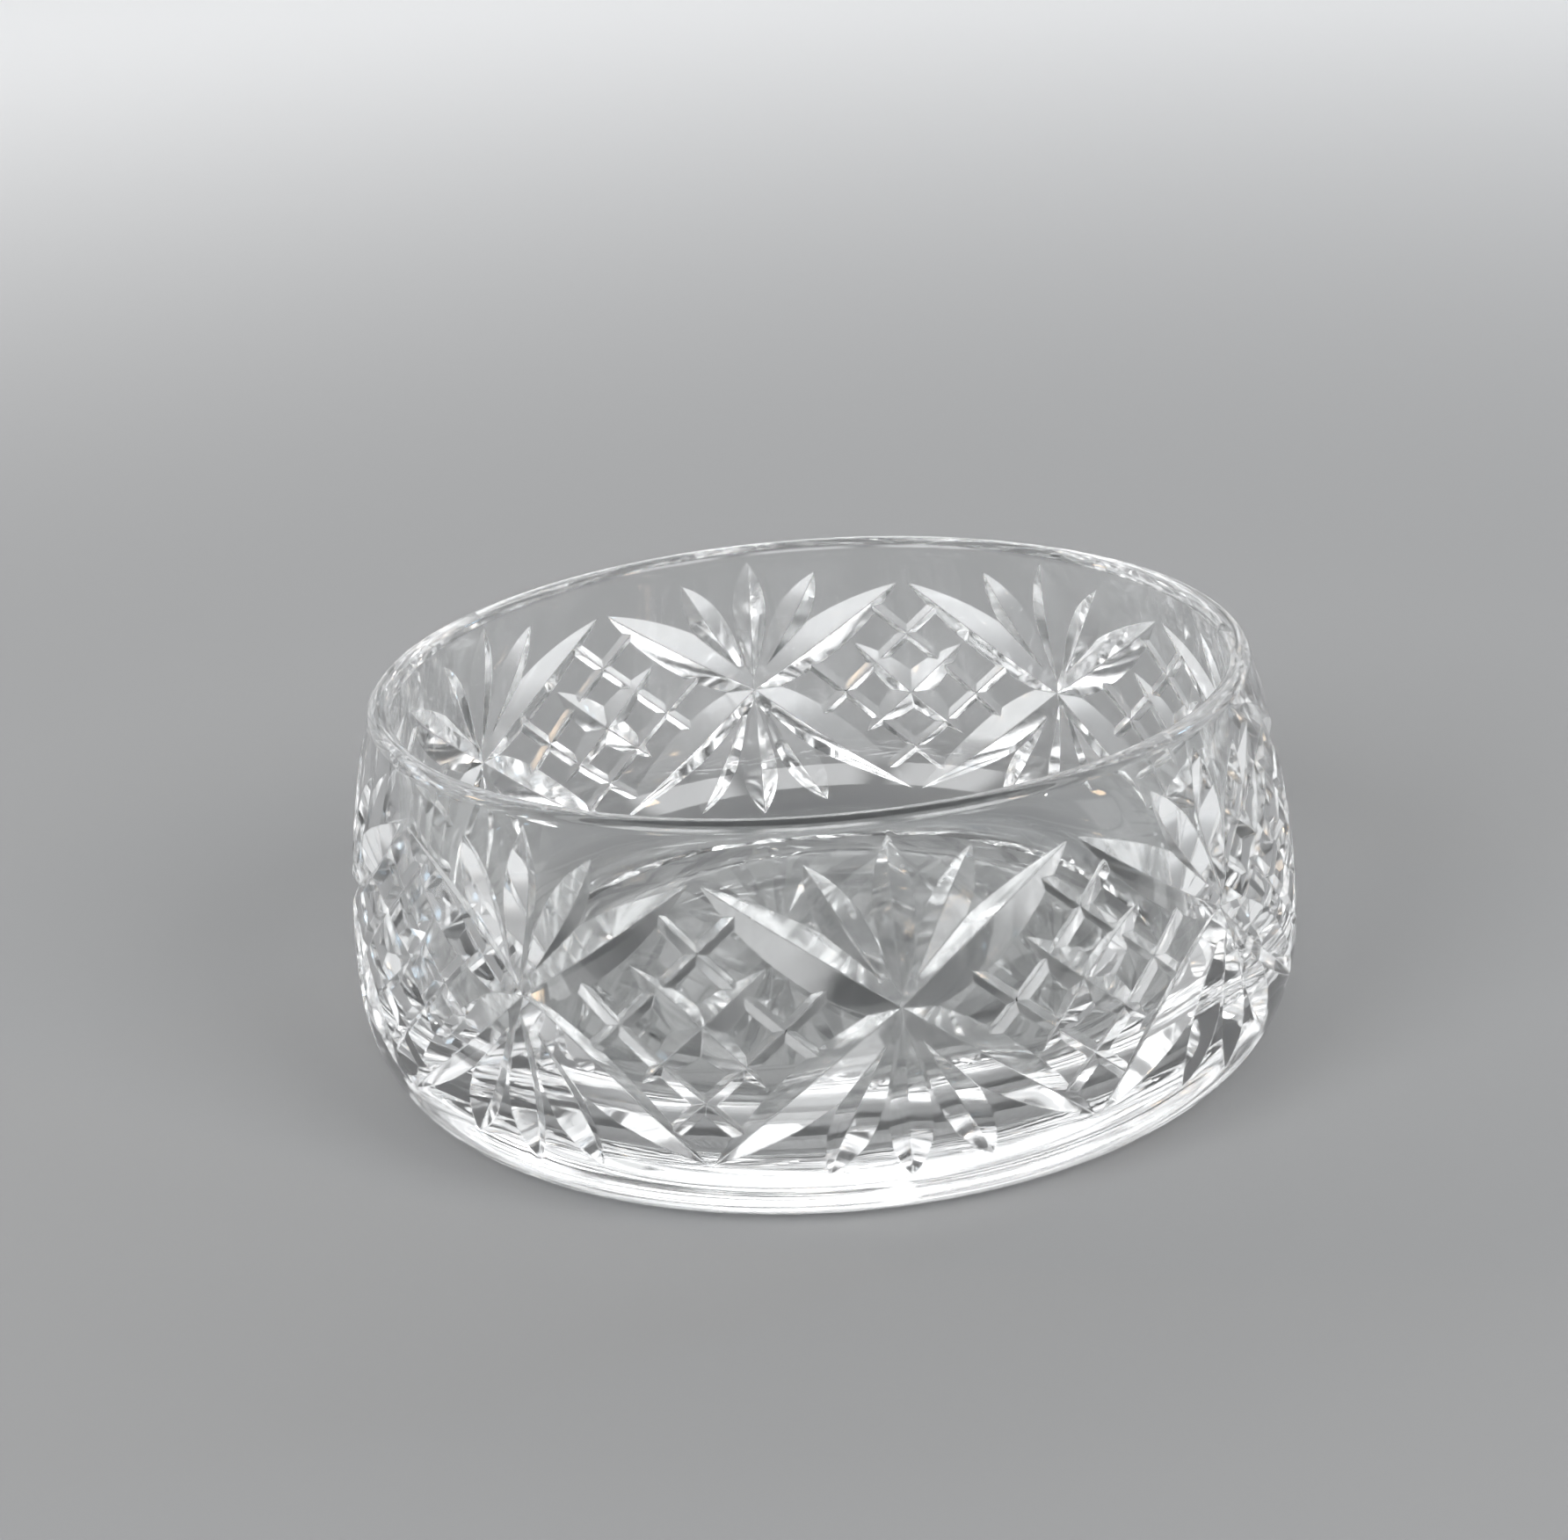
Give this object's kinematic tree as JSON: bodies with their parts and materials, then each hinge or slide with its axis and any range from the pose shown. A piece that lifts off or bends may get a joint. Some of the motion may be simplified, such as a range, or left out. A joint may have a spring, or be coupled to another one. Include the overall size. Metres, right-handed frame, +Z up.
{
  "type": "cut-glass cream bowl",
  "caption": "Round, low bowl of clear cut lead crystal with a slightly drawn-in rim, fans and hatched diamonds cut round the outside, for serving whipped cream.",
  "frame": {"origin": "middle of the underside, on the plane the standing ring rests on", "axes": "+Z up along the bowl's axis; -Y towards the middle of one fan of the cut pattern; +X to the right"},
  "size_m": [0.1498, 0.1498, 0.064],
  "materials": {
    "crystal": "polished clear lead crystal, refractive index about 1.55"
  },
  "bodies": {
    "root": {"bowl": "crystal"}
  },
  "joints": []
}
